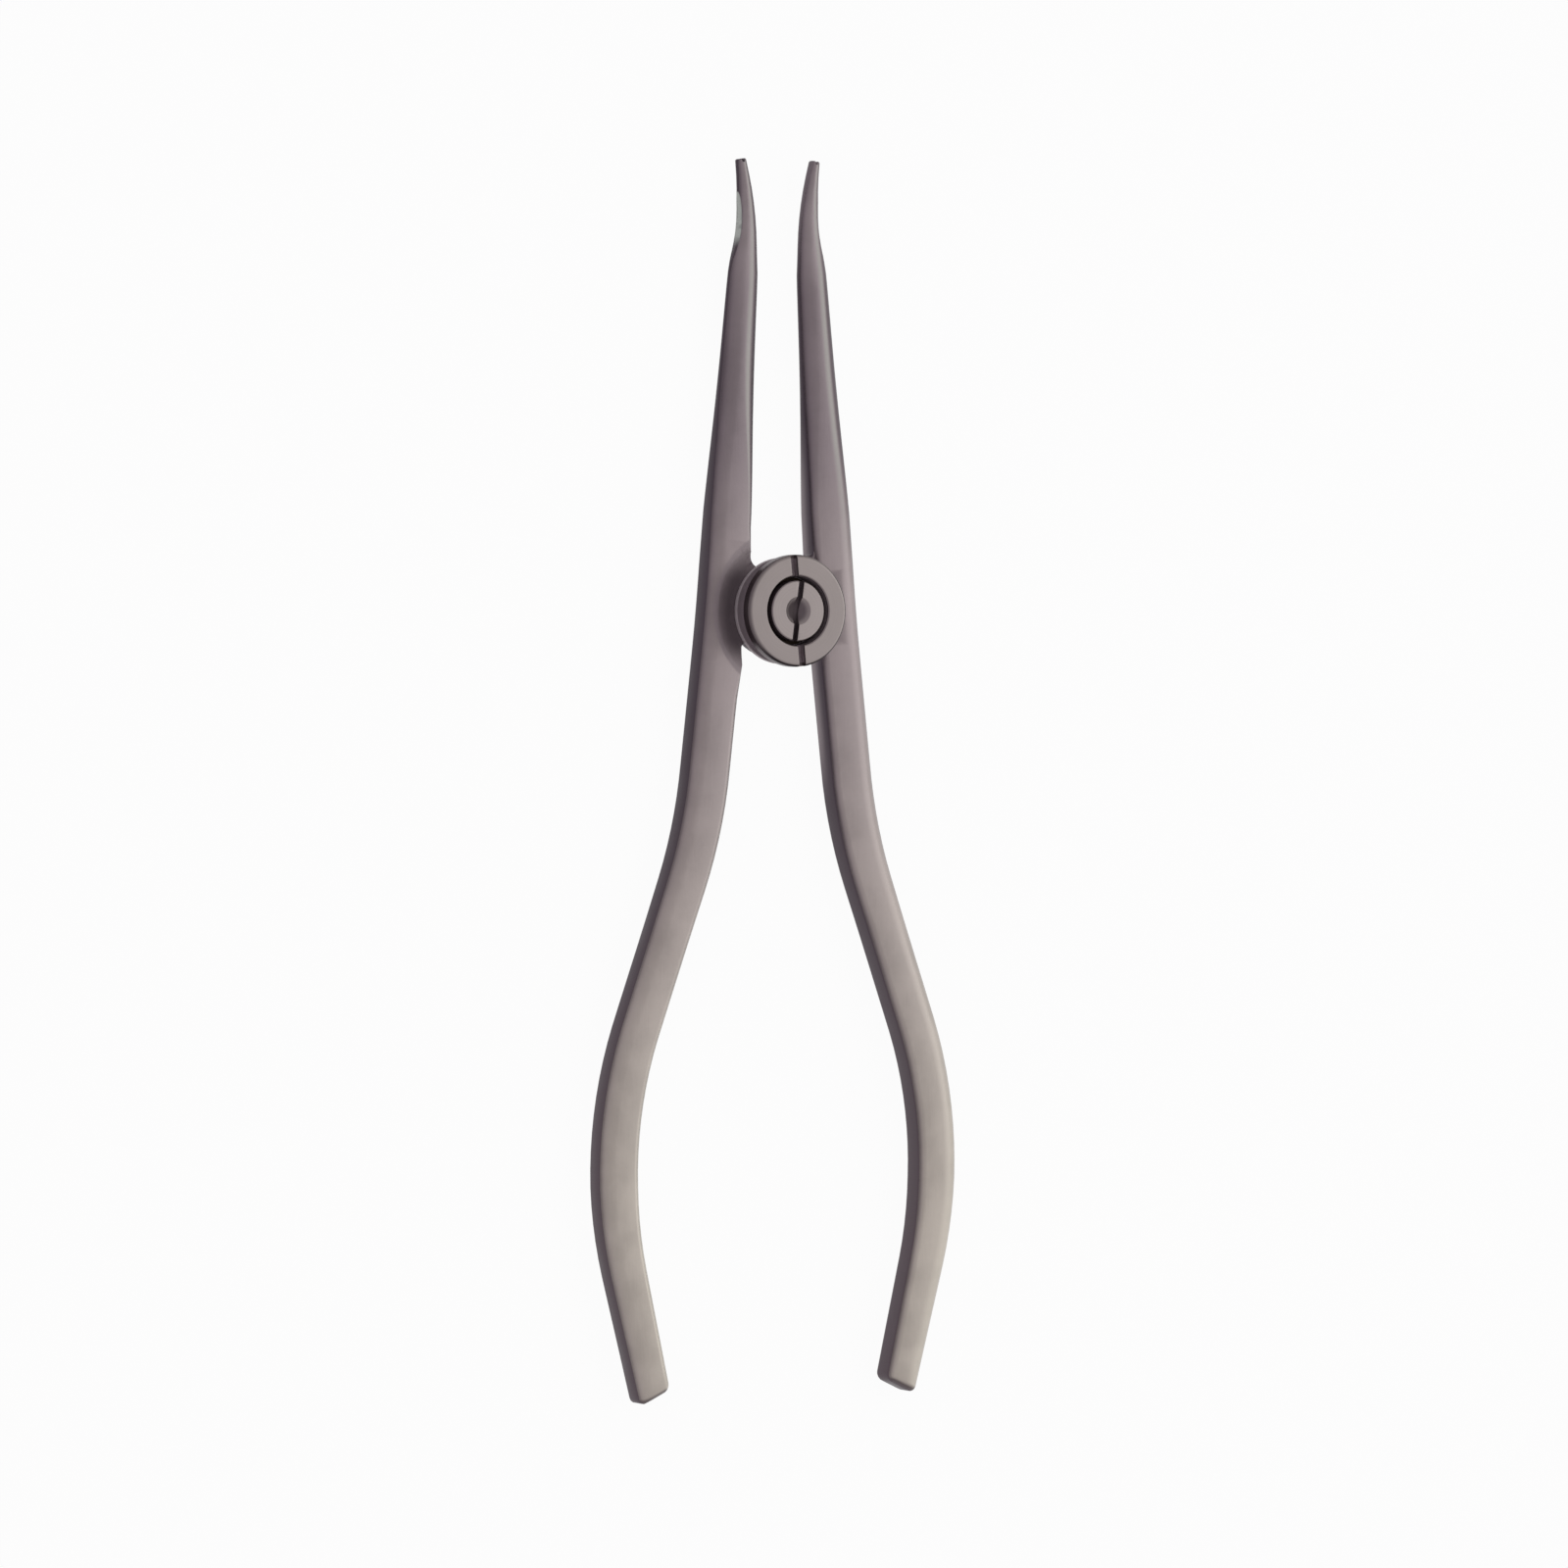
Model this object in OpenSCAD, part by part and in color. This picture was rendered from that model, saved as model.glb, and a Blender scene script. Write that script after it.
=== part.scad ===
// Ligature tying pliers: two long arms on a lap joint, with a winding hub over the pivot.
// The arms don't cross, so squeezing the handles spreads the notched tips.
// +Y runs to the tips, +Z to the front. The origin is on the pivot axis, on the flat back.

/* [Arms] */
// Reach of the beaks, from the pivot axis to the tips
beak_reach = 54.4; // [48:0.1:62]
// Reach of the handles, from the pivot axis to their ends
handle_reach = 94.4; // [88:0.1:110]
// Thickness of the arms, back to front
arm_t = 3.8; // [3.2:0.1:4.6]
// Distance from the pivot axis to an arm's centreline
arm_offset = 7.75; // [7.3:0.05:8.6]
// Width of an arm beside the hub
waist_width = 5.5; // [4.6:0.1:6]
// Radius along an arm's long edges
arm_edge = 0.85; // [0.5:0.05:1.2]
// Width of the soft shoulder that an arm's outer edges have instead
shoulder_w = 1.9; // [1:0.1:2.1]

/* [Handles] */
// Outward lean of the straight waist below the hub, in degrees
waist_lean = 6.4; // [4:0.1:9]
// Length of that waist, from the pivot's level
waist_len = 19.5; // [17:0.5:26]
// Length of the bend from the waist to the flare
shoulder_arc = 14; // [8:0.5:18]
// Outward lean of the straight flare, in degrees
flare_lean = 19.7; // [14:0.1:24]
// Length of the flare
flare_len = 18; // [12:0.5:22]
// Length of the long bow that the palm holds
bow_arc = 30; // [24:0.5:34]
// Inward lean of the handles' ends, in degrees
end_lean = 13.6; // [8:0.1:18]
// Width of a handle in the palm
grip_width = 5.2; // [4.2:0.1:5.8]
// Width of a handle at its end
end_width = 4.3; // [3.4:0.1:5]
// Radius round a handle's end
end_edge = 0.9; // [0.3:0.05:1]
// Slant of a handle's end, in degrees: its outer corner reaches furthest
end_slant = 12; // [0:0.5:20]

/* [Beaks] */
// Inward lean of the beaks, in degrees
beak_lean = 4.1; // [2.5:0.1:4.5]
// Distance from the pivot axis to where the beaks begin to narrow
beak_root = 12; // [8:0.5:14]
// Distance from the pivot axis to where the beaks are fully oval
oval_at = 33; // [20:1:36]
// Width of a beak where the slender tip begins
beak_width = 3.9; // [3.2:0.1:4.6]
// Length of the slender tip
tip_len = 14; // [11:0.5:20]
// Length of the outward bend in the tip
tip_arc = 8.5; // [5:0.5:10]
// Length of the straight end past that bend
tip_end = 1.5; // [1:0.1:4]
// Outward lean of the tip's end, in degrees
tip_lean = 9.4; // [4:0.1:12]
// Width of a tip's end
tip_width = 1.2; // [1.1:0.05:1.8]
// Thickness of a tip's end
tip_t = 1.45; // [1.1:0.05:2]
// Distance from a tip's end to the middle of the relief ground in its outer side
grind_at = 6.5; // [5:0.1:8]
// Radius of that relief
grind_r = 14; // [10:1:24]
// Depth of that relief
grind_depth = 0.3; // [0.15:0.05:0.4]
// Width of the notch that holds the ligature's strand
notch_w = 0.4; // [0.25:0.05:0.5]
// Depth of that notch
notch_depth = 0.45; // [0.25:0.05:0.8]

/* [Lap joint] */
// Thickness of the two lugs together
lap_t = 3; // [2.6:0.1:3.1]
// Radius of the lugs
lug_r = 5.5; // [5.2:0.1:6]
// Gap between the lugs' faces, and under the hub's foot
lap_gap = 0.05; // [0.02:0.01:0.1]
// Gap round a lug or the hub's foot, in the recess that it turns in
lug_gap = 0.12; // [0.08:0.01:0.3]
// Radius of the fillets between the lugs and the beaks
beak_fillet = 2; // [1:0.1:3]
// Radius of the fillets between the lugs and the handles
handle_fillet = 1; // [0.6:0.1:2]
// Width of the dish that is sunk in the left arm round the hub
dish_w = 3.2; // [1.8:0.1:3.2]

/* [Winding hub] */
// Radius of the hub's front flange
flange_r = 6.75; // [6.6:0.05:7.5]
// Thickness of that flange
flange_t = 1.5; // [1.2:0.1:2.2]
// Height of the winding groove
groove_h = 2.3; // [1.6:0.1:3]
// Radius of the hub's foot, the thin flange on the lug
foot_r = 6.4; // [6.2:0.1:6.8]
// Thickness of the foot
foot_t = 0.5; // [0.3:0.05:0.8]
// Radius at the bottom of the winding groove
neck_r = 5; // [4.8:0.1:5.4]
// Radius of the seat that the screw's head sinks in
seat_r = 4.2; // [4:0.1:4.4]
// Radius of the spigot that is set in the right arm's lug
spigot_r = 3.4; // [3:0.1:4]
// Width of the slot across the flange
hub_slot_w = 0.9; // [0.6:0.05:1.2]
// Depth of that slot
hub_slot_depth = 1; // [0.5:0.1:1.1]
// Turn of that slot from the long axis, in degrees
hub_slot_turn = 5.5; // [-90:0.5:90]

/* [Pivot screw] */
// Gap round the screw's head
head_gap = 0.55; // [0.2:0.05:0.8]
// Thickness of the screw's head
head_t = 1.5; // [1.2:0.1:1.8]
// Radius of the shoulder that the joint turns on
shoulder_r = 1.75; // [1.6:0.05:2.2]
// Running gap round the shoulder
run_gap = 0.04; // [0.02:0.01:0.08]
// Radius of the threaded end, in the left arm's lug
thread_r = 1.4; // [1.1:0.05:1.5]
// Width of the screwdriver slot
screw_slot_w = 0.7; // [0.5:0.05:1]
// Depth of the screwdriver slot
screw_slot_depth = 0.9; // [0.5:0.1:1]
// Turn of that slot from the long axis, in degrees
screw_slot_turn = -7.5; // [-90:0.5:90]
// Radius of the dimple in the head
dimple_r = 1.7; // [1:0.1:2]
// Depth of that dimple
dimple_depth = 0.7; // [0.4:0.1:0.9]

/* [Washers and lock pins] */
// Thickness of the thrust washer
washer_t = 0.3; // [0.2:0.05:0.4]
// Height of the disc spring as fitted
spring_h = 0.5; // [0.4:0.05:0.6]
// Thickness of the disc spring's plate
spring_t = 0.25; // [0.15:0.05:0.3]
// Gap between the washers and what they sit round or in
washer_gap = 0.15; // [0.1:0.05:0.3]
// Radius of the lock pins
lock_pin_r = 0.4; // [0.25:0.05:0.5]
// Length of the lock pins
lock_pin_len = 1.2; // [0.8:0.1:1.2]

/* [Hidden] */
$fn = 96;

// Levels, from the back to the front
mid_z = arm_t / 2;
lap_z = lap_t / 2;
groove_z = lap_t + foot_t;
flange_z = groove_z + groove_h;
face_z = flange_z + flange_t;
head_z = face_z - head_t;
spring_z = head_z - spring_h;
washer_z = spring_z - washer_t;

recess_r = lug_r + lug_gap;
foot_recess_r = foot_r + lug_gap;
head_r = seat_r - head_gap;
bore_r = shoulder_r + run_gap;
hub_lean = (beak_lean + waist_lean) / 2;
// Broken edges of the turned pieces, and the rounder rim of the flange
turned_edge = 0.15;
rim_edge = 0.45;
// How far a cutting tool reaches past what it cuts
past = 1;

// Arms
// A centreline is a chain of runs, each a length and the degrees it turns outward.
// The first run of each chain eases the lean across the hub.
ease_len = 6;
handle_start = [arm_offset, 0, hub_lean];
handle_runs = [
    [ease_len, waist_lean - hub_lean],
    [waist_len - ease_len, 0],
    [shoulder_arc, flare_lean - waist_lean],
    [flare_len, 0],
    [bow_arc, -flare_lean - end_lean]
];
beak_start = [arm_offset, 0, -hub_lean];
beak_easing = [ease_len, hub_lean - beak_lean];
tip_bend = [tip_arc, beak_lean + tip_lean];

// Pose [x, y, heading] after a run from pose p. The heading leans outward from the long axis.
function go(p, len, turn) =
    abs(turn) < 0.001
    ? [p[0] + len * sin(p[2]), p[1] + len * cos(p[2]), p[2]]
    : let (r = len / turn * 180 / PI, h = p[2] + turn)
      [p[0] + r * (cos(p[2]) - cos(h)), p[1] + r * (sin(h) - sin(p[2])), h];

// Pose at distance s along a chain of runs, going straight on past its end
function along(p, runs, s, i = 0) =
    i == len(runs) ? go(p, s, 0)
    : s <= runs[i][0] ? go(p, s, runs[i][1] * s / runs[i][0])
    : along(go(p, runs[i][0], runs[i][1]), runs, s - runs[i][0], i + 1);

handle_chain = waist_len + shoulder_arc + flare_len + bow_arc;
bow_end = along(handle_start, handle_runs, handle_chain);
handle_len = handle_chain + (handle_reach - bow_end[1]) / cos(end_lean);

// The straight part of a beak is as long as the reach leaves it
ease_end = go(beak_start, beak_easing[0], beak_easing[1]);
tip_rise = go([0, 0, -beak_lean], tip_bend[0], tip_bend[1])[1] + tip_end * cos(tip_lean);
beak_straight = (beak_reach - tip_rise - ease_end[1]) / cos(beak_lean);
beak_runs = [beak_easing, [beak_straight, 0], tip_bend];
beak_len = ease_len + beak_straight + tip_arc + tip_end;
tip_from = beak_len - tip_len;

function clamp(t) = max(0, min(1, t));
function ease(t) = let (c = clamp(t)) c * c * (3 - 2 * c);
function mix(a, b, t) = a + (b - a) * t;
function part_of(v, from, to) = clamp((v - from) / (to - from));

// Width and thickness along an arm: s is below 0 on the handle and above 0 on the beak
grip_at = waist_len + shoulder_arc + flare_len / 2;
taper_at = handle_chain - bow_arc / 3;
tip_power = 0.95;
function handle_width(d) =
    d < taper_at
    ? mix(waist_width, grip_width, ease(part_of(d, waist_len, grip_at)))
    : mix(grip_width, end_width, part_of(d, taper_at, handle_len));
function beak_taper(d) =
    d < tip_from
    ? mix(waist_width, beak_width, part_of(d, beak_root, tip_from))
    : mix(beak_width, tip_width, pow(part_of(d, tip_from, beak_len), tip_power));
function arm_width(s) = s < 0 ? handle_width(-s) : beak_taper(s);
function arm_depth(s) = mix(arm_t, tip_t, part_of(s, lug_r, beak_len - tip_end));

// The beaks are oval: their corners grow till they nearly meet.
// An arm's inner edges run out sharp beside the lug.
nearly = 0.9;
sharp_edge = 0.2;
function oval(s) = ease(part_of(s, beak_root, oval_at));
function side_edge(s, edge) = mix(edge, nearly * arm_width(s) / 2, oval(s));
function face_edge(s) = mix(arm_edge, nearly * arm_depth(s) / 2, oval(s));
function inner(s, edge) = mix(sharp_edge, edge, ease(part_of(abs(s), lug_r, 2 * lug_r)));

// A quarter of a section's outline: the corner with radii r, whose centre is c
corner_steps = 6;
function corner(c, r, from) = [
    for (i = [0:corner_steps]) let (a = from + 90 * i / corner_steps)
    [c[0] + r[0] * cos(a), c[1] + r[1] * sin(a)]
];

// Section square to the arm, drawn in by inset: outward across the arm, and up
function section(s, inset, flush) =
    let (w = arm_width(s) / 2 - inset, t = arm_depth(s) / 2 - inset)
    let (least = sharp_edge / 2, side = side_edge(s, arm_edge), face = face_edge(s))
    let (out = [max(least, side_edge(s, shoulder_w) - inset), max(least, face - inset)])
    let (in_side = flush ? inner(s, side) : side, in_face = flush ? inner(s, face) : face)
    let (in = [max(least, in_side - inset), max(least, in_face - inset)])
    concat(
        corner([w - out[0], t - out[1]], out, 0),
        corner([in[0] - w, t - in[1]], in, 90),
        corner([in[0] - w, in[1] - t], in, 180),
        corner([w - out[0], out[1] - t], out, 270)
    );

// Place of the right arm's centreline at s: x, y and the direction across, outward
function place(s) =
    s < 0
    ? let (p = along(handle_start, handle_runs, -s)) [p[0], -p[1], cos(p[2]), sin(p[2])]
    : let (p = along(beak_start, beak_runs, s)) [p[0], p[1], cos(p[2]), -sin(p[2])];

// Rings of an arm, each a distance s and an inset. The insets round off the two ends.
tip_edge = 0.2;
end_steps = 4;
handle_steps = 46;
beak_steps = 32;
rings = concat(
    [for (i = [0:end_steps - 1]) let (a = 90 * i / end_steps)
        [end_edge * (1 - cos(a)) - handle_len, end_edge * (1 - sin(a))]],
    [for (i = [0:handle_steps - 1]) [mix(end_edge - handle_len, 0, i / handle_steps), 0]],
    [for (i = [0:beak_steps - 1]) [mix(0, beak_len - tip_edge, i / beak_steps), 0]],
    [for (i = [end_steps:-1:0]) let (a = 90 * i / end_steps)
        [beak_len - tip_edge * (1 - cos(a)), tip_edge * (1 - sin(a))]]
);

// The handle's end is slanted over this length: out is the distance outward across the arm
slant_len = 6;
function slanted(s, out) =
    out * tan(end_slant) * ease(part_of(-s, handle_len - slant_len, handle_len));

module arm_bar(flush) {
    count = 4 * (corner_steps + 1);
    last = len(rings) - 1;
    points = [
        for (ring = rings) let (p = place(ring[0]))
        for (q = section(ring[0], ring[1], flush)) let (down = slanted(ring[0], q[0]))
        [p[0] + q[0] * p[2] + down * p[3], p[1] + q[0] * p[3] - down * p[2], mid_z + q[1]]
    ];
    walls = [
        for (i = [0:last - 1]) for (j = [0:count - 1])
        let (a = i * count + j, b = i * count + (j + 1) % count)
        each [[a, b, b + count], [a, b + count, a + count]]
    ];
    handle_cap = [for (j = [count - 1:-1:0]) j];
    tip_cap = [for (j = [0:count - 1]) last * count + j];
    polyhedron(points, concat(walls, [handle_cap, tip_cap]), convexity = 8);
}

// Web that fills the corner between the lug and the arm's inner side, above or below the hub.
// Its fillet starts a little inside the lug and the arm, for clean edges.
web_sink = 0.02;
module lug_web(s, fillet, thick) {
    p = place(s);
    side = p[0] * p[2] + p[1] * p[3] - arm_width(s) / 2;
    across = side + web_sink - fillet;
    rise = sqrt(pow(lug_r - web_sink + fillet, 2) - pow(across, 2));
    deep = side + waist_width / 4;
    rotate(atan2(p[3], p[2])) linear_extrude(thick) difference() {
        polygon([[0, 0], [deep, 0], [deep, sign(s) * rise], [across, sign(s) * rise]]);
        translate([across, sign(s) * rise]) circle(fillet);
    }
}

module tip_relief() {
    s = beak_len - grind_at;
    p = place(s);
    reach = arm_width(s) / 2 - grind_depth + grind_r;
    translate([p[0] + reach * p[2], p[1] + reach * p[3], -past]) cylinder(arm_t + 2 * past, r = grind_r, $fn = 360);
}

module tip_notch() {
    p = place(beak_len);
    deep = notch_depth - notch_w / 2;
    translate([p[0], p[1], -past]) rotate(-tip_lean) {
        translate([0, -deep, 0]) cylinder(arm_t + 2 * past, r = notch_w / 2, $fn = 24);
        translate([-notch_w / 2, -deep, 0]) cube([notch_w, deep + past, arm_t + 2 * past]);
    }
}

// A whole arm with a lug as thick as the bar, before the lap joint is cut. The webs start at a
// level of their own. Where that is the arm's back, the arm's inner edges run out sharp.
module arm_blank(web_z, web_t) {
    difference() {
        union() {
            arm_bar(web_z == 0);
            cylinder(arm_t, r = lug_r);
            translate([0, 0, web_z]) {
                lug_web(lug_r, beak_fillet, web_t);
                lug_web(-lug_r, handle_fillet, web_t);
            }
        }
        tip_relief();
        tip_notch();
    }
}

// Profile of the cut in front of the left lug: the right lug's recess, the foot's recess
// and the dish. The dish's curve runs a little above the arm's front, for a clean edge.
dish_steps = 12;
dish_rise = 0.06;
module dish_profile() {
    left_lug_z = lap_z - lap_gap;
    floor_z = lap_t - lap_gap;
    polygon(concat(
        [[0, left_lug_z], [recess_r, left_lug_z], [recess_r, floor_z]],
        [for (i = [0:dish_steps]) let (t = i / dish_steps)
            [foot_recess_r + dish_w * t, mix(floor_z, arm_t + dish_rise, ease(t))]],
        [[foot_recess_r + dish_w, arm_t + past], [0, arm_t + past]]
    ));
}

module lock_pin(r, z) {
    translate([0, r, z]) cylinder(lock_pin_len, r = lock_pin_r, $fn = 32);
}

module screw_pin() {
    lock_pin(thread_r, 0);
}

module hub_pin() {
    lock_pin(spigot_r, lap_z);
}

module left_arm() {
    color("#8c8588") difference() {
        mirror([1, 0, 0]) arm_blank(0, arm_t);
        rotate_extrude() dish_profile();
        translate([0, 0, -past]) cylinder(arm_t, r = thread_r);
        screw_pin();
    }
}

// The right arm's webs are thicker than its lug by this, on both faces
web_over = 0.3;
module right_arm() {
    color("#938b8d") difference() {
        arm_blank(lap_z - web_over, lap_z + 2 * web_over);
        translate([0, 0, -past]) cylinder(lap_z + past, r = recess_r);
        translate([0, 0, lap_t]) cylinder(arm_t, r = foot_recess_r);
        cylinder(arm_t + past, r = spigot_r);
        hub_pin();
    }
}

// Winding hub
module rim_profile() {
    translate([0, flange_z]) square([flange_r, flange_t - rim_edge]);
    translate([0, flange_z]) square([flange_r - rim_edge, flange_t]);
    translate([flange_r - rim_edge, face_z - rim_edge]) circle(rim_edge);
}

module neck_profile() {
    round_r = groove_h / 2;
    translate([0, lap_t]) square([foot_r, foot_t]);
    difference() {
        translate([0, groove_z]) square([neck_r + round_r, groove_h]);
        translate([neck_r + round_r, groove_z + round_r]) circle(round_r);
    }
}

module slot(width, depth, turn) {
    rotate(turn) translate([-width / 2, -flange_r - past, face_z - depth])
        cube([width, 2 * (flange_r + past), depth + past]);
}

module winding_hub() {
    color("#a39b9b") difference() {
        rotate_extrude() difference() {
            union() {
                translate([0, lap_z]) square([spigot_r, lap_t]);
                neck_profile();
                rim_profile();
            }
            translate([0, washer_z]) square([seat_r, face_z]);
            square([bore_r, face_z]);
            polygon([
                [seat_r, face_z - turned_edge], [seat_r + turned_edge, face_z],
                [seat_r + turned_edge, face_z + past], [0, face_z + past]
            ]);
        }
        slot(hub_slot_w, hub_slot_depth, hub_slot_turn);
        hub_pin();
    }
}

module hub_lock_pin() {
    color("#b5b0ae") hub_pin();
}

// Pivot screw, its washers and its lock pin. The dimple in its head is part of a ball.
ball_r = (pow(dimple_r, 2) + pow(dimple_depth, 2)) / (2 * dimple_depth);
module pivot_screw() {
    color("#aaa3a3") difference() {
        rotate_extrude() polygon([
            [0, 0], [thread_r - turned_edge, 0], [thread_r, turned_edge],
            [thread_r, lap_z - lap_gap], [shoulder_r, lap_z - lap_gap], [shoulder_r, head_z],
            [head_r, head_z], [head_r, face_z - turned_edge],
            [head_r - turned_edge, face_z], [0, face_z]
        ]);
        slot(screw_slot_w, screw_slot_depth, screw_slot_turn);
        translate([0, 0, face_z - dimple_depth + ball_r]) sphere(ball_r);
        screw_pin();
    }
}

module screw_lock_pin() {
    color("#b5b0ae") screw_pin();
}

module thrust_washer() {
    color("#c2bcb4") rotate_extrude()
        translate([shoulder_r + washer_gap, washer_z])
        square([seat_r - shoulder_r - 2 * washer_gap, washer_t]);
}

// The disc spring bears on the head at its inner rim and on the washer at its outer rim
module disc_spring() {
    r_in = shoulder_r + washer_gap;
    r_out = head_r - washer_gap;
    color("#77727a") rotate_extrude() polygon([
        [r_in, head_z - spring_t], [r_in, head_z],
        [r_out, spring_z + spring_t], [r_out, spring_z]
    ]);
}

left_arm();
right_arm();
winding_hub();
hub_lock_pin();
pivot_screw();
screw_lock_pin();
thrust_washer();
disc_spring();
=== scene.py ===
"""Ligature tying pliers lying on their flat back, seen from the front, 30 degrees to the left.

Lengths are in millimetres, and MM makes them metres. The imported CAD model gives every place:
+Y runs to the tips, +Z to the front, and the origin is on the pivot axis, at the flat back.
"""

import math

import bpy
from mathutils import Matrix, Vector


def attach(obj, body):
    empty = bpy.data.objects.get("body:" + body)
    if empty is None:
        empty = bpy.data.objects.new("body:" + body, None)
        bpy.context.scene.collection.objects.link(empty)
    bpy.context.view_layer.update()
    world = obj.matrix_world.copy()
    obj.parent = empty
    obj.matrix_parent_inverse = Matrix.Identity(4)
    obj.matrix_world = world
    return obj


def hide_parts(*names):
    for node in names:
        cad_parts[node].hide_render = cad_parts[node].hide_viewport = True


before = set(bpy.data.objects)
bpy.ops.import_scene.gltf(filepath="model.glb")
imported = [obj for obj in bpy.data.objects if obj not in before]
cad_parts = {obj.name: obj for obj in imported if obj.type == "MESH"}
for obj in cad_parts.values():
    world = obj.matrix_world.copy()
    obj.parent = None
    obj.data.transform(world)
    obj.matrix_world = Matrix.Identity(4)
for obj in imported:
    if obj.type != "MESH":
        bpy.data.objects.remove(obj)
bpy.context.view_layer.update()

MM = 0.001

# Camera: the point it looks at, its direction and roll in degrees, its distance and its lens
LOOK_AT = (1.113, -20.903, 2.0)
TURNED, RAISED, ROLL = -29.82, 0.857, 0.175
DISTANCE = 966.5
NEAREST = 50
LENS, SENSOR = 183.58, 36

# Key lamp: its place, its size and its power in watts
KEY_LAMP = ((430, 60, 420), 320, 0.16)

FLOOR_SIZE = 8000
FLOOR_Z = -0.1

# Levels and radii of the turned pieces, as the CAD model has them
LAP_Z = 1.5
LUG_FACE_Z = 1.45
FOOT_Z = 3.0
GROOVE_Z = 3.5
FLANGE_Z = 5.8
FACE_Z = 7.3
SEAT_Z = 5.0
HEAD_Z = 5.8
FLANGE_R = 6.75
FOOT_R = 6.4
GROOVE_R = 1.15
NECK_R = 5.0
SEAT_R = 4.2
SPIGOT_R = 3.4
BORE_R = 1.79
HEAD_R = 3.65
SHOULDER_R = 1.75
THREAD_R = 1.4
DIMPLE_R = 1.7
DIMPLE_DEPTH = 0.7
RIM_EDGE = 0.45
TURNED_EDGE = 0.15

# Screwdriver slots: width, depth and turn in degrees, and how far their cutter reaches past
HUB_SLOT = (0.9, 1.0, 5.5)
SCREW_SLOT = (0.7, 0.9, -7.5)
SLOT_CLEAR = 1

# Sides of the turned pieces and of their rounds, and the degrees left open at a dimple's pole
HUB_SIDES, SCREW_SIDES = 144, 96
GROOVE_SIDES, RIM_SIDES, DIMPLE_SIDES = 16, 6, 10
POLE_GAP = 5

# Edges: the angle in degrees above which one stays crisp, and the edges that are broken
CRISP_ANGLE = 32
BROKEN_ANGLE = 40
BROKEN_EDGE = 0.04

# Points of a CAD mesh that are nearer than this are one
MERGE_GAP = 0.0005

# How much larger a piece is while its normals are weighted, because the modifier skips faces
# under a ten-thousandth of a square metre
ENLARGED = 1000

# Middle of the relief that is ground in a tip's outer side, from the pivot axis, and its radius
RELIEF = (19.3219, 47.5671)
RELIEF_R = 14.0

# The left arm's dish: its radius, how high its faces lie, how far they face up, and its cells
DISH_R = 9.9
DISH_LOW, DISH_HIGH = 2.96, 4.78
DISH_STEEP, DISH_FLAT = 0.1, 0.9999
DISH_CELL = 0.6
CELLS_X, CELLS_Y = (-10, -4.6), (-9, 9)

# Stretches of y over which an arm goes over to another tone
PALM_Y = (0, -80)
BEAK_Y = (2, 22)
TIP_Y = (37, 46)
TIP_FLANK_Y = (38, 50)
BY_HUB_Y = (24, 14)
HANDLE_END_Y = (-89, -92)
RELIEF_Y = (43.6, 45.4)

# Marks: lumps to the metre of the arms' grain and of scratches, and how deep all marks are
ARM_GRAIN = (5200, 330, 5200)
SCRATCHES = (9000, 1500, 9000)
RINGS = 5200.0
MARK_DEPTH = 0.02

# Share of its metal look that a sunk, dull surface loses
DULLED = 0.8

# Sockets of a Mix node that mixes colours
MIX_SHARE, MIX_FIRST, MIX_SECOND, MIX_RESULT = 0, 6, 7, 2


def rgb(red, green, blue):
    """A colour given as a screen shows it, from 0 to 255, made linear."""
    parts = [v / 255 for v in (red, green, blue)]
    return (*[v / 12.92 if v < 0.04 else ((v + 0.055) / 1.055) ** 2.4 for v in parts], 1)


# Forged steel
WAIST_FRONT = rgb(162, 152, 153)
PALM_FRONT = rgb(196, 189, 180)
BEAK_FRONT = rgb(143, 133, 137)
TIP_FRONT = rgb(160, 150, 153)
# A painted highlight along the beaks where their fronts turn a little to the right
BEAK_PAINTED_HIGHLIGHT = rgb(152, 149, 147)
# The flank colours are painted shade, darker than the fronts because the flanks face away; the
# inner flank colour is painted light low on the inner flanks beside the hub
WAIST_FLANK_SHADE = rgb(68, 58, 66)
PALM_FLANK_SHADE = rgb(84, 73, 79)
INNER_FLANK_LIGHT = rgb(132, 122, 126)
TIP_FLANK_SHADE = rgb(104, 94, 100)
GROUND_STEEL = rgb(158, 160, 157)
# Painted shade in the left arm's dish, darker towards the hub, and painted light at its ends
DISH_RIM = rgb(160, 148, 152)
DISH_DEEP_SHADE = rgb(126, 115, 120)
DISH_ENDS_LIGHT = rgb(166, 156, 158)

# Turned steel
HUB_ROUGH, SCREW_ROUGH = 0.36, 0.34
HUB_FACE = rgb(164, 156, 154)
SCREW_FACE = rgb(170, 162, 160)
# Painted shade: the sides of the turned pieces are darker than their faces
TURNED_WALL_SHADE = rgb(94, 83, 87)
# A painted shade line round the hub's rim and a painted highlight on the edge of its foot
RIM_PAINTED_SHADE = rgb(46, 38, 42)
GROOVE_WALL = rgb(142, 131, 136)
FOOT_PAINTED_HIGHLIGHT = rgb(204, 196, 198)
HUB_SLOT_WALL = rgb(150, 138, 142)
# Painted shade in the screw's slot and dimple, darker on the left
DIMPLE_RIGHT_SHADE = rgb(104, 94, 98)
DIMPLE_LEFT_SHADE = rgb(72, 61, 64)

# Finishes of the small pieces: the material's name, two tones and the roughness. The washer and
# the disc spring are nearly black: painted shade where they show in the ring gap.
PIN_TONES = (rgb(176, 172, 168), rgb(140, 134, 132))
SMALL_PIECES = {
    "hub_lock_pin": ("pin_steel", *PIN_TONES, 0.3),
    "screw_lock_pin": ("pin_steel_left", *PIN_TONES, 0.3),
    "thrust_washer": ("washer_bronze", rgb(56, 47, 40), rgb(42, 35, 32), 0.5),
    "disc_spring": ("spring_steel", rgb(62, 56, 62), rgb(46, 40, 46), 0.5),
}

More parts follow.
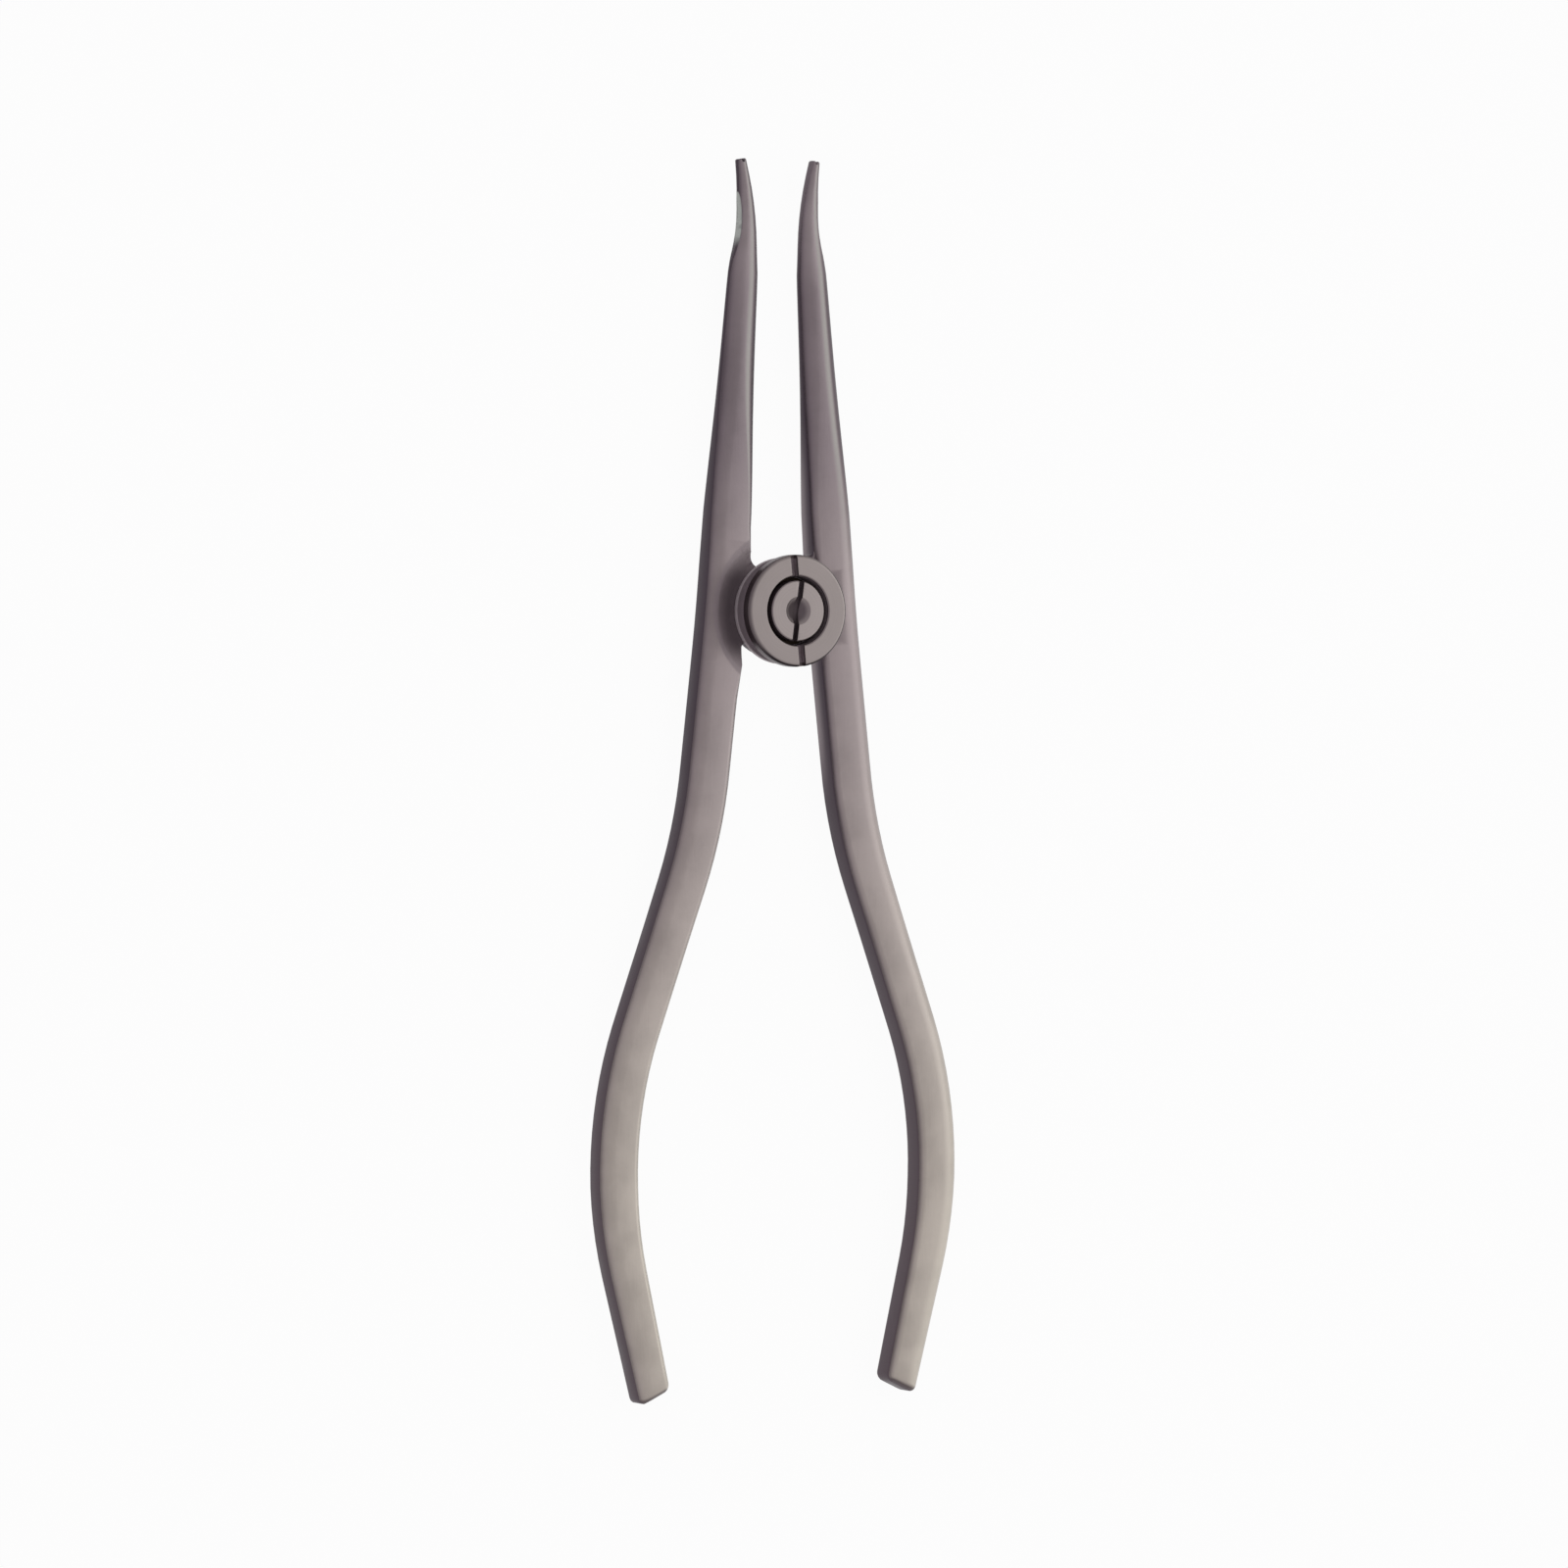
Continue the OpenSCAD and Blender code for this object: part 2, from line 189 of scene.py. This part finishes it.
# Floor and room
PAPER = (0.9, 0.9, 0.9, 1)
WHITE = (1, 1, 1, 1)
ROOM_LEFT = (0.50, 0.46, 0.50, 1)
ROOM_RIGHT = (0.66, 0.63, 0.64, 1)
ROOM_BRIGHTEST = (1.1, 1.09, 1.07, 1)
ROOM_STRENGTH = 0.9
BRIGHT_TURNED = 70
PAPER_SEEN = 0.95


# Camera and light


def point_at(thing, away, roll):
    """Turns a lamp or a camera so that it looks back along the vector away, with +Y up."""
    back = Vector(away).normalized()
    across = Vector((0, 1, 0)).cross(back).normalized()
    turn = Matrix((across, back.cross(across), back)).transposed()
    thing.matrix_world = (
        Matrix.Translation(thing.location)
        @ turn.to_4x4()
        @ Matrix.Rotation(math.radians(roll), 4, "Z")
    )


def direction(turned, raised):
    """Unit vector that leans from +Z by two angles: turned to +X, and raised to +Y."""
    t, r = math.radians(turned), math.radians(raised)
    return Vector((math.sin(t) * math.cos(r), math.sin(r), math.cos(t) * math.cos(r)))


def set_camera():
    """A long lens, so that the pliers look as flat as in the photograph."""
    away = direction(TURNED, RAISED)
    bpy.ops.object.camera_add(location=Vector(LOOK_AT) * MM + DISTANCE * MM * away)
    camera = bpy.context.object
    camera.data.lens = LENS
    camera.data.sensor_width = SENSOR
    camera.data.clip_start = NEAREST * MM
    point_at(camera, away, ROLL)
    bpy.context.scene.camera = camera


def add_lamp(name, place, size, power):
    """A soft square lamp that faces the pliers."""
    bpy.ops.object.light_add(type="AREA", location=Vector(place) * MM)
    lamp = bpy.context.object
    lamp.name = name
    lamp.data.size = size * MM
    lamp.data.energy = power
    point_at(lamp, place, 0)


# Materials


class Wire:
    """An output socket of a material. Arithmetic on wires adds the material's Math nodes."""

    def __init__(self, tree, socket):
        self.tree = tree
        self.socket = socket

    def node(self, kind, settings=None, inputs=None, output=0):
        """Adds a node: its settings first, then its sockets' values or links."""
        made = self.tree.nodes.new("ShaderNode" + kind)
        for name, value in (settings or {}).items():
            setattr(made, name, value)
        for name, value in (inputs or {}).items():
            if isinstance(value, Wire):
                self.tree.links.new(value.socket, made.inputs[name])
            else:
                made.inputs[name].default_value = value
        return Wire(self.tree, made.outputs[output]) if made.outputs else None

    def math(self, operation, *values):
        """A Math node on these values."""
        return self.node("Math", {"operation": operation}, dict(enumerate(values)))

    def __add__(self, other):
        return self.math("ADD", self, other)

    def __radd__(self, other):
        return self.math("ADD", other, self)

    def __sub__(self, other):
        return self.math("SUBTRACT", self, other)

    def __rsub__(self, other):
        return self.math("SUBTRACT", other, self)

    def __mul__(self, other):
        return self.math("MULTIPLY", self, other)

    def __rmul__(self, other):
        return self.math("MULTIPLY", other, self)

    def __pow__(self, other):
        return self.math("POWER", self, other)

    def __abs__(self):
        return self.math("ABSOLUTE", self)

    def between(self, start, end):
        """0 before start and 1 past end, with a soft rise. The start may be the higher one."""
        return self.node(
            "MapRange",
            {"interpolation_type": "SMOOTHSTEP"},
            {"Value": self, "From Min": start, "From Max": end},
        )

    def span(self, start, end):
        """The same for a length, with start and end in millimetres."""
        return self.between(start * MM, end * MM)

    def blend(self, colour, other):
        """Mixes two colours, with this wire as the share of the second."""
        inputs = {MIX_SHARE: self, MIX_FIRST: colour, MIX_SECOND: other}
        return self.node("Mix", {"data_type": "RGBA"}, inputs, MIX_RESULT)

    def tint(self, colour):
        """The colour multiplied by this wire."""
        settings = {"data_type": "RGBA", "blend_type": "MULTIPLY"}
        inputs = {MIX_SHARE: 1.0, MIX_FIRST: colour, MIX_SECOND: self}
        return self.node("Mix", settings, inputs, MIX_RESULT)

    def outputs(self, kind, names):
        """Several outputs of one new node, which this wire feeds if it leads anywhere."""
        made = self.tree.nodes.new("ShaderNode" + kind)
        if self.socket:
            self.tree.links.new(self.socket, made.inputs[0])
        return [Wire(self.tree, made.outputs[name]) for name in names]

    def parts(self):
        """The three numbers of a vector wire."""
        return self.outputs("SeparateXYZ", "XYZ")

    def noise(self, scale, detail, stretch=(1, 1, 1)):
        """Noise on this place, with scale in lumps to the metre."""
        place = self.node("Mapping", None, {"Vector": self, "Scale": stretch})
        return self.node("TexNoise", None, {"Vector": place, "Scale": scale, "Detail": detail})


def new_material(name):
    """An empty material and a wire to start from."""
    material = bpy.data.materials.new(name)
    material.use_nodes = True
    material.node_tree.nodes.clear()
    return material, Wire(material.node_tree, None)


def on_piece(start):
    """The place on a piece, its x, y and z, and its distance from the pivot axis."""
    place = start.node("TexCoord", output="Object")
    x, y, z = place.parts()
    return place, x, y, z, (x * x + y * y) ** 0.5


def facing(start):
    """The x, y and z of the direction in which a piece's surface faces."""
    return start.node("TexCoord", output="Normal").parts()


def close_steel(start, colour, rough, height, strength, metallic=1.0):
    """Ends a metal: its colour, its roughness and the height of its fine marks."""
    marks = {"Height": height, "Strength": strength, "Distance": MARK_DEPTH * MM}
    bump = start.node("Bump", None, marks)
    sockets = {"Base Color": colour, "Metallic": metallic, "Roughness": rough, "Normal": bump}
    shader = start.node("BsdfPrincipled", None, sockets)
    start.node("OutputMaterial", None, {"Surface": shader})


def front_colour(y, nx, palm, beak):
    """Fronts: greyer on the beaks, with a painted highlight in a band to the right, and warm on
    the palms.
    """
    colour = palm.blend(WAIST_FRONT, PALM_FRONT)
    colour = beak.blend(colour, BEAK_FRONT)
    colour = y.span(*TIP_Y).blend(colour, TIP_FRONT)
    painted_highlight = beak * nx.between(0.02, 0.16) * nx.between(0.36, 0.22)
    return (0.9 * painted_highlight).blend(colour, BEAK_PAINTED_HIGHLIGHT)


def flank_shade_colour(y, z, nx, palm, outward):
    """Flanks in painted shade: dark, but with painted light on the backs of the inner ones
    beside the hub, and less dark at the right tip.
    """
    light_by_hub = abs(y).span(*BY_HUB_Y) * (outward * nx).between(-0.5, -0.8)
    colour = palm.blend(WAIST_FLANK_SHADE, PALM_FLANK_SHADE)
    colour = (light_by_hub * z.span(2.8, 0.6)).blend(colour, INNER_FLANK_LIGHT)
    return y.span(*TIP_FLANK_Y).blend(colour, TIP_FLANK_SHADE) if outward > 0 else colour


def ground_relief(x, y, outward):
    """Where the tip's outer side is ground."""
    across, along = outward * x - RELIEF[0] * MM, y - RELIEF[1] * MM
    away = (across * across + along * along) ** 0.5
    return away.span(RELIEF_R + 0.1, RELIEF_R + 0.04) * y.span(*RELIEF_Y)


def dish_looks(y, z, nz, radius, front):
    """Where the left arm's dish is; its colour, in painted shade that darkens towards the hub
    with painted light at its ends; and a painted shadow round it.
    """
    dish = radius.span(DISH_R, DISH_R - 0.4) * z.span(4.7, 3.9) * z.span(1.6, 2.4)
    ends = abs(y).span(3.4, 6.6)
    colour = ends.blend(radius.span(9.7, 7.2).blend(DISH_RIM, DISH_DEEP_SHADE), DISH_ENDS_LIGHT)
    shade = radius.span(11.8, 8.4) * (1 - ends) * front * nz.between(0, 0.3)
    return dish, colour, shade


def forged_steel(name, outward):
    """Satin forging: fine grain along the arm, and painted shade that makes the flanks dark
    beside a brighter front.

    outward is the sign of x on the arm's outer side. Only the left arm has the dish.
    """
    material, start = new_material(name)
    place, x, y, z, radius = on_piece(start)
    nx, ny, nz = facing(start)
    grain = place.noise(1.0, 3.0, ARM_GRAIN)
    cloud = place.noise(170.0, 4.0).between(0.3, 0.7)
    speck = place.noise(1500.0, 2.0)
    palm, beak = y.span(*PALM_Y), y.span(*BEAK_Y)

    # How far the surface counts as front and escapes the flanks' painted shade: more on a
    # palm's side that faces right, as painted light, and less on a beak's right edge and on a
    # handle's end, as painted shade
    front = (abs(nz) + 0.35 * palm * nx.between(0, 0.8)).between(0.26, 0.92)
    front *= 1 - 0.6 * beak * nx.between(0.22, 0.46)
    front *= 1 - 0.8 * y.span(*HANDLE_END_Y) * ny.between(-0.2, -0.6)

    # Painted shade: the flanks take a dark colour and the fronts a brighter one
    flank_shade = flank_shade_colour(y, z, nx, palm, outward)
    colour = front.blend(flank_shade, front_colour(y, nx, palm, beak))
    colour = ground_relief(x, y, outward).blend(colour, GROUND_STEEL)
    tone = 0.86 + 0.15 * cloud + 0.1 * grain + 0.05 * speck
    rough = 0.42 - 0.08 * front + 0.1 * (cloud - 0.5) + 0.1 * (grain - 0.5)
    metallic = 1.0
    if outward < 0:
        dish, dull, shade = dish_looks(y, z, nz, radius, front)
        # Painted shade in the dish, and a painted shadow on the front round it
        colour = dish.blend(colour, dull)
        tone *= 1 - 0.3 * shade
        rough += 0.2 * dish
        metallic = 1 - DULLED * dish
    close_steel(start, tone.tint(colour), rough, grain + 0.5 * speck, 0.14, metallic)
    return material


def hub_dulling_and_painted_light(spot, colour, sunk):
    """The hub's rim line of painted shade, its dull groove, a painted highlight on the edge of
    its foot, and its dull slots.
    """
    x, y, z, radius = spot
    # Painted shade in a dark line round the flange's rim, strongest to the lower right
    rim = radius.span(FLANGE_R - 0.32, FLANGE_R - 0.18) * z.span(FACE_Z - 0.8, FACE_Z - 0.4)
    rim *= 0.3 + 0.7 * (x - y).span(-3, 3)
    groove = radius.span(FLANGE_R - 0.03, FLANGE_R - 0.1)
    groove *= z.span(FLANGE_Z + 0.06, FLANGE_Z - 0.06)
    # Painted highlight on the foot's edge
    foot = z.span(GROOVE_Z + 0.12, GROOVE_Z + 0.02) * radius.span(FOOT_R - 0.16, FOOT_R - 0.06)
    colour = rim.blend(colour, RIM_PAINTED_SHADE)
    colour = groove.blend(colour, GROOVE_WALL)
    colour = foot.blend(colour, FOOT_PAINTED_HIGHLIGHT)
    sunk = groove.math("MAXIMUM", groove, sunk)
    return (sunk * (1 - groove)).blend(colour, HUB_SLOT_WALL), sunk


def screw_painted_shade(spot, colour, sunk):
    """Painted shade in the screw's slot and dimple, darker on the left."""
    dull = spot[0].span(0.9, -0.3).blend(DIMPLE_RIGHT_SHADE, DIMPLE_LEFT_SHADE)
    return sunk.blend(colour, dull), sunk


def turned_steel(name, light, smoothness, sunk_r, dulling_and_painted_light):
    """Steel from the lathe: fine rings about the pivot axis, painted shade on its sides, and a
    dull colour in what is sunk.

    sunk_r is the radius within which all that lies below the face is sunk. The last argument
    colours it,
    from the spot on the piece: its x, y and z, and its radius, and it also paints shade and
    light.
    """
    material, start = new_material(name)
    place, *spot = on_piece(start)
    z, radius = spot[2:]
    face = abs(facing(start)[2]).between(0.3, 0.9)
    turning = {"W": radius, "Scale": RINGS, "Detail": 3.0}
    rings = start.node("TexNoise", {"noise_dimensions": "1D"}, turning)
    cloud = place.noise(260.0, 4.0)
    sunk = z.span(FACE_Z - 0.06, FACE_Z - 0.5) * radius.span(sunk_r + 0.05, sunk_r - 0.05)
    # Painted shade on the sides, then the last argument's colours
    colour, sunk = dulling_and_painted_light(spot, face.blend(TURNED_WALL_SHADE, light), sunk)
    tone = 0.86 + 0.16 * cloud + 0.12 * rings
    rough = smoothness + 0.1 * (cloud - 0.5) + 0.12 * (rings - 0.5) + 0.25 * sunk
    close_steel(start, tone.tint(colour), rough, rings, 0.1, 1 - DULLED * sunk)
    return material


def plain_metal(name, light, dark, smoothness):
    """A small inner piece: mottled metal with fine scratches."""
    material, start = new_material(name)
    place = start.node("TexCoord", output="Object")
    cloud = place.noise(900.0, 4.0)
    scratches = place.noise(1.0, 2.0, SCRATCHES)
    colour = cloud.between(0.3, 0.7).blend(dark, light)
    rough = smoothness + 0.15 * (scratches - 0.5)
    close_steel(start, (0.9 + 0.15 * scratches).tint(colour), rough, scratches, 0.15)
    return material


def rays(start):
    """Whether a ray comes from the camera, off gloss, or through glass."""
    return start.outputs(
        "LightPath", ("Is Camera Ray", "Is Glossy Ray", "Is Transmission Ray")
    )


def floor_paper():
    """White paper: nearly plain white to the camera and in gloss, with a soft shadow."""
    material, start = new_material("floor_paper")
    camera, glossy, through = rays(start)
    paper = start.node("BsdfDiffuse", None, {"Color": PAPER})
    glow = start.node("Emission", None, {"Color": WHITE, "Strength": 1.0})
    seen = PAPER_SEEN * (camera + glossy + through)
    surface = start.node("MixShader", None, {0: seen, 1: paper, 2: glow})
    start.node("OutputMaterial", None, {"Surface": surface})
    return material


def set_floor():
    """A wide sheet of paper just under the pliers."""
    bpy.ops.mesh.primitive_plane_add(size=FLOOR_SIZE * MM, location=(0, 0, FLOOR_Z * MM))
    floor = bpy.context.object
    floor.name = "floor"
    floor.data.materials.append(floor_paper())


def set_world():
    """A soft room: brightest low on the right, greyer to the left, white to the camera."""
    world = bpy.data.worlds.new("soft_room")
    world.use_nodes = True
    world.node_tree.nodes.clear()
    bpy.context.scene.world = world
    start = Wire(world.node_tree, None)
    x, _, z = start.node("TexCoord", output="Generated").parts()
    bright = direction(BRIGHT_TURNED, 0)
    toward = x * bright.x + z * bright.z
    light = toward.between(-0.8, 0.6).blend(ROOM_LEFT, ROOM_RIGHT)
    light = toward.between(0.74, 1.0).blend(light, ROOM_BRIGHTEST)
    camera = rays(start)[0]
    room = start.node("Background", None, {"Color": light, "Strength": ROOM_STRENGTH})
    white = start.node("Background", None, {"Color": WHITE, "Strength": 1.0})
    mixed = start.node("MixShader", None, {0: camera, 1: room, 2: white})
    start.node("OutputWorld", None, {"Surface": mixed})


# Modelling helpers


def make_active(piece):
    """Selects this piece alone, in object mode."""
    if bpy.context.object and bpy.context.object.mode != "OBJECT":
        bpy.ops.object.mode_set(mode="OBJECT")
    bpy.ops.object.select_all(action="DESELECT")
    piece.select_set(True)
    bpy.context.view_layer.objects.active = piece


def edit(piece, mode="VERT"):
    """Goes to edit mode on this piece."""
    make_active(piece)
    bpy.ops.object.mode_set(mode="EDIT")
    bpy.ops.mesh.select_mode(type=mode)


def apply_modifier(piece, kind, **settings):
    """Adds a modifier and applies it."""
    make_active(piece)
    bpy.ops.object.modifier_add(type=kind)
    modifier = piece.modifiers[-1]
    for name, value in settings.items():
        setattr(modifier, name, value)
    bpy.ops.object.modifier_apply(modifier=modifier.name)


def settle(piece, scale=1):
    """Scales a piece, and moves its place, turn and scale into its mesh."""
    make_active(piece)
    piece.scale = (scale, scale, scale)
    bpy.ops.object.transform_apply(location=True, rotation=True, scale=True)


def smooth(piece):
    """Shades a piece smooth but for its crisp edges."""
    make_active(piece)
    bpy.ops.object.shade_smooth_by_angle(angle=math.radians(CRISP_ANGLE))


def keep_flats(piece):
    """Makes large faces shade flat up to their edges."""
    settle(piece)
    settle(piece, ENLARGED)
    apply_modifier(piece, "WEIGHTED_NORMAL", keep_sharp=True)
    settle(piece, 1 / ENLARGED)


def finish_piece(piece, body, material, replaced):
    """Gives a piece its material and its body, and hides the CAD node that it stands for."""
    settle(piece)
    piece.data.materials.clear()
    piece.data.materials.append(material)
    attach(piece, body)
    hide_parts(replaced)


# Arms


def merged_copy(node, name):
    """A copy of a CAD node with its loose triangles merged."""
    piece = bpy.data.objects.new(name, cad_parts[node].data.copy())
    bpy.context.scene.collection.objects.link(piece)
    edit(piece)
    bpy.ops.mesh.select_all(action="SELECT")
    bpy.ops.mesh.remove_doubles(threshold=MERGE_GAP * MM)
    bpy.ops.object.mode_set(mode="OBJECT")
    return piece


def in_dish(place, normal):
    """Whether a face of the left arm belongs to the dish, by its centre in millimetres."""
    level = DISH_LOW < place.z < DISH_HIGH
    tilted = DISH_STEEP < normal.z < DISH_FLAT
    return place.xy.length < DISH_R and level and tilted


def select_faces(piece, wanted):
    """Selects the faces whose centre and normal the test wants, and goes to edit mode."""
    edit(piece, "FACE")
    bpy.ops.mesh.select_all(action="DESELECT")
    bpy.ops.object.mode_set(mode="OBJECT")
    for face in piece.data.polygons:
        face.select = wanted(face.center / MM, face.normal)
    bpy.ops.object.mode_set(mode="EDIT")


def cut_cells(piece, wanted, axis, first, last):
    """Cuts the wanted faces by planes square to an axis, from first to last, for even cells."""
    count = round((last - first) / DISH_CELL)
    for i in range(count + 1):
        select_faces(piece, wanted)
        place = first + (last - first) * i / count
        bpy.ops.mesh.bisect(plane_co=axis * place * MM, plane_no=axis, use_fill=False)
    bpy.ops.object.mode_set(mode="OBJECT")


def make_arm(node, body, outward):
    """An arm: the CAD forging, with the left one's dish cut in fine cells for a soft shade."""
    piece = merged_copy(node, node + "_forging")
    if outward < 0:
        cut_cells(piece, in_dish, Vector((1, 0, 0)), *CELLS_X)
        cut_cells(piece, in_dish, Vector((0, 1, 0)), *CELLS_Y)
    smooth(piece)
    finish_piece(piece, body, forged_steel(node + "_satin", outward), node)


# Turned pieces


def turn_profile(name, profile, count):
    """Turns a profile of (radius, height) pairs about the pivot axis, ring by ring."""
    radius, height = profile[0]
    bpy.ops.mesh.primitive_circle_add(
        vertices=count, radius=radius * MM, location=(0, 0, height * MM), fill_type="NOTHING"
    )
    piece = bpy.context.object
    piece.name = name
    edit(piece)
    bpy.ops.mesh.select_all(action="SELECT")
    for r, h in profile[1:]:
        bpy.ops.mesh.extrude_region_move(
            TRANSFORM_OT_translate={"value": (0, 0, (h - height) * MM)}
        )
        bpy.ops.transform.resize(
            value=(r / radius, r / radius, 1), center_override=(0, 0, h * MM)
        )
        radius, height = r, h
    return piece


def select_open_edges():
    """Selects the open ends of the profile being turned."""
    bpy.ops.mesh.select_all(action="DESELECT")
    bpy.ops.mesh.select_non_manifold(extend=False)


def turn_outwards():
    """Turns every face of the piece being edited outwards, and ends the edit."""
    bpy.ops.mesh.select_all(action="SELECT")
    bpy.ops.mesh.normals_make_consistent(inside=False)
    bpy.ops.object.mode_set(mode="OBJECT")


def arc(centre, radius, first, last, count):
    """Points of a profile on a round, between two angles in degrees."""
    angles = [math.radians(first + (last - first) * i / count) for i in range(count + 1)]
    return [
        (centre[0] + radius * math.cos(a), centre[1] + radius * math.sin(a)) for a in angles
    ]


def mill_slot(piece, width, depth, turn):
    """Mills a screwdriver slot across the face."""
    bpy.ops.mesh.primitive_cube_add(
        size=1,
        location=(0, 0, (FACE_Z - depth + SLOT_CLEAR) * MM),
        rotation=(0, 0, math.radians(turn)),
        scale=(width * MM, 2 * (FLANGE_R + SLOT_CLEAR) * MM, 2 * SLOT_CLEAR * MM),
    )
    cutter = bpy.context.object
    apply_modifier(piece, "BOOLEAN", object=cutter, operation="DIFFERENCE", solver="EXACT")
    bpy.data.objects.remove(cutter)


def break_edges(piece):
    """Rounds every crisp edge a little, as a file or a tumbler does."""
    apply_modifier(
        piece,
        "BEVEL",
        width=BROKEN_EDGE * MM,
        segments=2,
        limit_method="ANGLE",
        angle_limit=math.radians(BROKEN_ANGLE),
        use_clamp_overlap=False,
    )


def mill_and_break(piece, slot):
    """The last work on a turned piece: its slot, its broken edges and its shading."""
    turn_outwards()
    mill_slot(piece, *slot)
    break_edges(piece)
    smooth(piece)
    keep_flats(piece)


def make_hub():
    """The winding hub: spigot, foot, groove, slotted flange and the seat for the screw."""
    groove = arc((NECK_R + GROOVE_R, GROOVE_Z + GROOVE_R), GROOVE_R, 270, 90, GROOVE_SIDES)
    rim = arc((FLANGE_R - RIM_EDGE, FACE_Z - RIM_EDGE), RIM_EDGE, 0, 90, RIM_SIDES)
    profile = [
        (BORE_R, LAP_Z),
        (SPIGOT_R, LAP_Z),
        (SPIGOT_R, FOOT_Z),
        (FOOT_R, FOOT_Z),
        (FOOT_R, GROOVE_Z),
        *groove,
        (FLANGE_R, FLANGE_Z),
        *rim,
        (SEAT_R + TURNED_EDGE, FACE_Z),
        (SEAT_R, FACE_Z - TURNED_EDGE),
        (SEAT_R, SEAT_Z),
        (BORE_R, SEAT_Z),
    ]
    piece = turn_profile("winding_hub_turned", profile, HUB_SIDES)
    select_open_edges()
    bpy.ops.mesh.bridge_edge_loops()
    mill_and_break(piece, HUB_SLOT)
    steel = turned_steel("hub_satin", HUB_FACE, HUB_ROUGH, FLANGE_R - RIM_EDGE, hub_dulling_and_painted_light)
    finish_piece(piece, "right", steel, "winding_hub")


def make_screw():
    """The pivot screw: threaded end, shoulder, and a slotted head with a round dimple."""
    ball_r = (DIMPLE_R**2 + DIMPLE_DEPTH**2) / (2 * DIMPLE_DEPTH)
    low = math.degrees(math.acos(1 - DIMPLE_DEPTH / ball_r))
    centre = (0, FACE_Z - DIMPLE_DEPTH + ball_r)
    profile = [
        (THREAD_R - TURNED_EDGE, 0),
        (THREAD_R, TURNED_EDGE),
        (THREAD_R, LUG_FACE_Z),
        (SHOULDER_R, LUG_FACE_Z),
        (SHOULDER_R, HEAD_Z),
        (HEAD_R, HEAD_Z),
        (HEAD_R, FACE_Z - TURNED_EDGE),
        (HEAD_R - TURNED_EDGE, FACE_Z),
        *arc(centre, ball_r, low - 90, POLE_GAP - 90, DIMPLE_SIDES),
    ]
    piece = turn_profile("pivot_screw_turned", profile, SCREW_SIDES)
    bpy.ops.mesh.edge_face_add()
    select_open_edges()
    bpy.ops.mesh.edge_face_add()
    mill_and_break(piece, SCREW_SLOT)
    steel = turned_steel("screw_satin", SCREW_FACE, SCREW_ROUGH, HEAD_R + 0.05, screw_painted_shade)
    finish_piece(piece, "left", steel, "pivot_screw")


set_camera()
set_world()
set_floor()
add_lamp("key_lamp", *KEY_LAMP)

make_arm("left_arm", "left", -1)
make_arm("right_arm", "right", 1)
make_hub()
make_screw()
for node, looks in SMALL_PIECES.items():
    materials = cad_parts[node].data.materials
    materials.clear()
    materials.append(plain_metal(*looks))

bpy.context.scene.view_settings.view_transform = "Standard"
